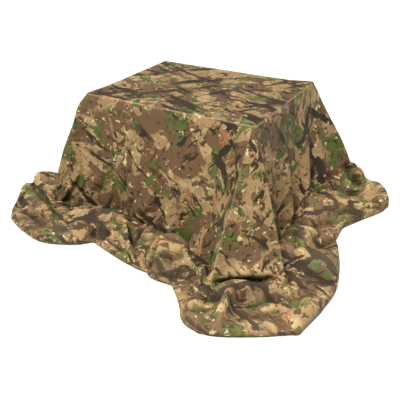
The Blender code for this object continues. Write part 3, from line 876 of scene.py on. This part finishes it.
def strokes(tree, where, lie, shift, turn, level, gate):
    """Long dabs along one direction, on the sides that it lies in, let through by a coarse gate."""
    bent = wander(tree, where, 4.2, 0.12)
    lines = noise(tree, place(tree, bent, shift, turn, STROKE_SIZE), 21, 4.0, 0.58, 0.2)
    off_side = maths(tree, "MULTIPLY", maths(tree, "SUBTRACT", 1.0, step(tree, lie, 0.26, 0.16)), 0.25)
    dabs = step(tree, maths(tree, "SUBTRACT", lines, off_side), level)
    room = step(tree, noise(tree, place(tree, where, shift), 3.2, 1.0), gate, 0.02)
    return maths(tree, "MULTIPLY", dabs, room)


TAN = srgb(146, 121, 85)
TAN_LIGHT = srgb(167, 142, 104)
BROWN = srgb(99, 76, 55)
BROWN_DARK = srgb(68, 50, 35)
GREEN = srgb(80, 92, 44)
GREEN_DARK = srgb(58, 72, 36)
RUST = srgb(146, 98, 70)
CREAM = srgb(196, 180, 140)
NEAR_BLACK = srgb(35, 29, 25)


# Noises of the print: start, scale, detail, roughness, distortion
NOISES = {
    "broad": ((3.1, 0.4, 1.7), 7.8, 4.0, 0.55, 0.7),
    "pale": ((8.4, 2.2, 5.1), 14.0, 3.0, 0.55, 0.8),
    "shade": ((1.9, 7.7, 3.3), 21.0, 3.0, 0.6, 0.9),
    "leaf": ((5.5, 1.2, 9.6), 8.6, 5.0, 0.66, 0.5),
    "leaf_shade": ((2.2, 6.1, 0.8), 34.0, 3.0, 0.6, 0.6),
    "rusty": ((7.3, 3.9, 2.7), 19.0, 4.0, 0.62, 0.6),
    "light_fleck": ((4.6, 8.8, 6.4), 44.0, 2.0, 0.5, 0.4),
    "fleck_room": ((0.7, 5.3, 4.9), 6.5, 2.0, 0.5),
    "dark_fleck": ((9.1, 0.9, 7.2), 52.0, 2.0, 0.5, 0.3),
}

# Dark dabs: the side that they lie on, start of their noise, turn, level and gate
STROKES = (
    ("front", (2.6, 4.4, 8.1), (0, 40, 4), 0.575, 0.43),
    ("front", (5.2, 7.9, 1.4), (0, -50, -4), 0.590, 0.45),
    ("side", (6.7, 1.5, 3.8), (0, -44, 84), 0.575, 0.43),
    ("side", (1.8, 3.6, 6.6), (0, 58, 92), 0.590, 0.45),
    ("flat", (0.3, 9.2, 5.9), (0, 4, -24), 0.562, 0.40),
    ("flat", (7.5, 2.9, 9.4), (0, -5, 47), 0.577, 0.43),
)


def camo_print(tree, where):
    """Colour of the print: blotches laid one over another, then specks and dark dabs."""
    layer = {name: noise(tree, place(tree, where, start), *rest) for name, (start, *rest) in NOISES.items()}
    colour = blend(tree, step(tree, layer["pale"], 0.56), TAN, TAN_LIGHT)
    colour = blend(tree, step(tree, layer["broad"], 0.505), colour, BROWN)
    colour = blend(tree, step(tree, layer["shade"], 0.60), colour, BROWN_DARK)
    colour = blend(tree, step(tree, layer["leaf"], 0.558), colour, GREEN)
    in_leaf = maths(tree, "MULTIPLY", step(tree, layer["leaf"], 0.54), step(tree, layer["leaf_shade"], 0.57))
    colour = blend(tree, in_leaf, colour, GREEN_DARK)
    colour = blend(tree, step(tree, layer["rusty"], 0.632), colour, RUST)
    specks = step(tree, layer["light_fleck"], 0.655)
    specks = maths(tree, "MULTIPLY", specks, step(tree, layer["fleck_room"], 0.47, 0.03))
    colour = blend(tree, specks, colour, CREAM)
    colour = blend(tree, step(tree, layer["dark_fleck"], 0.665), colour, NEAR_BLACK)
    lean = tree.nodes.new("ShaderNodeSeparateXYZ")
    plug(tree, lean.inputs[0], attribute(tree, "lean", "Vector"))
    lies = dict(zip(("side", "front", "flat"), lean.outputs))
    for side, start, turn, level, gate in STROKES:
        colour = blend(tree, strokes(tree, where, lies[side], start, turn, level, gate), colour, NEAR_BLACK)
    return colour


THREADS = 180.0


def weave(tree, where):
    """Height of the plain weave: fine waves along the three axes, so it shows on every side."""
    total = None
    for axis in ("X", "Y", "Z"):
        made = tree.nodes.new("ShaderNodeTexWave")
        made.bands_direction = axis
        plug(tree, made.inputs["Vector"], where)
        made.inputs["Scale"].default_value = THREADS
        total = made.outputs["Fac"] if total is None else maths(tree, "ADD", total, made.outputs["Fac"])
    return total


def bump(tree, height, distance, strength, normal=None):
    made = tree.nodes.new("ShaderNodeBump")
    made.inputs["Distance"].default_value = distance
    made.inputs["Strength"].default_value = strength
    plug(tree, made.inputs["Height"], height)
    if normal is not None:
        plug(tree, made.inputs["Normal"], normal)
    return made.outputs[0]


# How far the print moves for each unit of a panel's jump, and the shares of the colours laid over it: the
# fading, the painted highlight and the painted shade
PANEL_STEP = (0.83, 0.41, 0.67)
FADED = srgb(150, 126, 88)
FADED_SHARE = 0.12
HIGHLIGHT_TINT = srgb(198, 174, 140)
HIGHLIGHT_SHARE = 0.72
PAINTED_SHADE_SHARE = 0.52


def camo_material():
    """The cloth: print, fading, painted highlights and sheen, painted shade in the troughs, painted light and
    shade of the relief, and bump for the crumple and the weave.
    """
    made = bpy.data.materials.new("camo_cloth")
    made.use_nodes = True
    tree = made.node_tree
    shader = tree.nodes["Principled BSDF"]
    jump = tree.nodes.new("ShaderNodeVectorMath")
    jump.operation = "MULTIPLY_ADD"
    plug(tree, jump.inputs[0], attribute(tree, "panel", "Fac"))
    jump.inputs[1].default_value = PANEL_STEP
    plug(tree, jump.inputs[2], attribute(tree, "cut", "Vector"))
    where = jump.outputs[0]
    colour = camo_print(tree, where)
    fade = noise(tree, where, 3.0, 4.0, 0.6)
    colour = blend(tree, maths(tree, "MULTIPLY", fade, FADED_SHARE), colour, FADED)
    # Painted highlight and sheen: the colour is lifted towards a pale tint
    painted_highlight_mask = maths(tree, "MULTIPLY", attribute(tree, "painted_highlight", "Fac"), noise(tree, where, 13.0, 3.0, 0.6))
    colour = blend(tree, maths(tree, "MULTIPLY", painted_highlight_mask, HIGHLIGHT_SHARE), colour, HIGHLIGHT_TINT)
    # Painted shade: the colour darkens towards near black in the troughs and beside the flap
    trough = maths(tree, "MULTIPLY", attribute(tree, "painted_shade", "Fac"), PAINTED_SHADE_SHARE)
    colour = blend(tree, trough, colour, NEAR_BLACK)
    # Painted light and shade of the relief: the colour is scaled up on ridges and the pool's outer part, down
    # in troughs
    lit = tree.nodes.new("ShaderNodeVectorMath")
    lit.operation = "SCALE"
    plug(tree, lit.inputs[0], colour)
    plug(tree, lit.inputs["Scale"], attribute(tree, "gain", "Fac"))
    plug(tree, shader.inputs["Base Color"], lit.outputs[0])
    crumple = noise(tree, place(tree, where, (1, 2, 3)), 26.0, 4.0, 0.55, 0.6)
    soft = bump(tree, crumple, 0.010, 0.35)
    plug(tree, shader.inputs["Normal"], bump(tree, weave(tree, where), 0.0004, 0.35, soft))
    shader.inputs["Roughness"].default_value = 0.5
    shader.inputs["Specular IOR Level"].default_value = 0.08
    shader.inputs["Sheen Weight"].default_value = 0.06
    shader.inputs["Sheen Roughness"].default_value = 0.45
    shader.inputs["Sheen Tint"].default_value = (1.0, 0.86, 0.66, 1.0)
    return made


PLY_LIGHT = srgb(206, 178, 136)
PLY_DARK = srgb(170, 136, 94)


def plywood_material():
    made = bpy.data.materials.new("plywood")
    made.use_nodes = True
    tree = made.node_tree
    shader = tree.nodes["Principled BSDF"]
    spot = tree.nodes.new("ShaderNodeTexCoord").outputs["Object"]
    grain = noise(tree, place(tree, spot, (0, 0, 0), (0, 0, 0), (9.0, 1.0, 1.0)), 80.0, 6.0, 0.6, 1.2)
    plug(tree, shader.inputs["Base Color"], blend(tree, grain, PLY_LIGHT, PLY_DARK))
    plug(tree, shader.inputs["Normal"], bump(tree, grain, 0.0008, 0.3))
    shader.inputs["Roughness"].default_value = 0.7
    return made


camera()
studio()
net = drape()
net.data.materials.append(camo_material())
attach(net, "root")
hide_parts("net")

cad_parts["box"].material_slots[0].material = plywood_material()
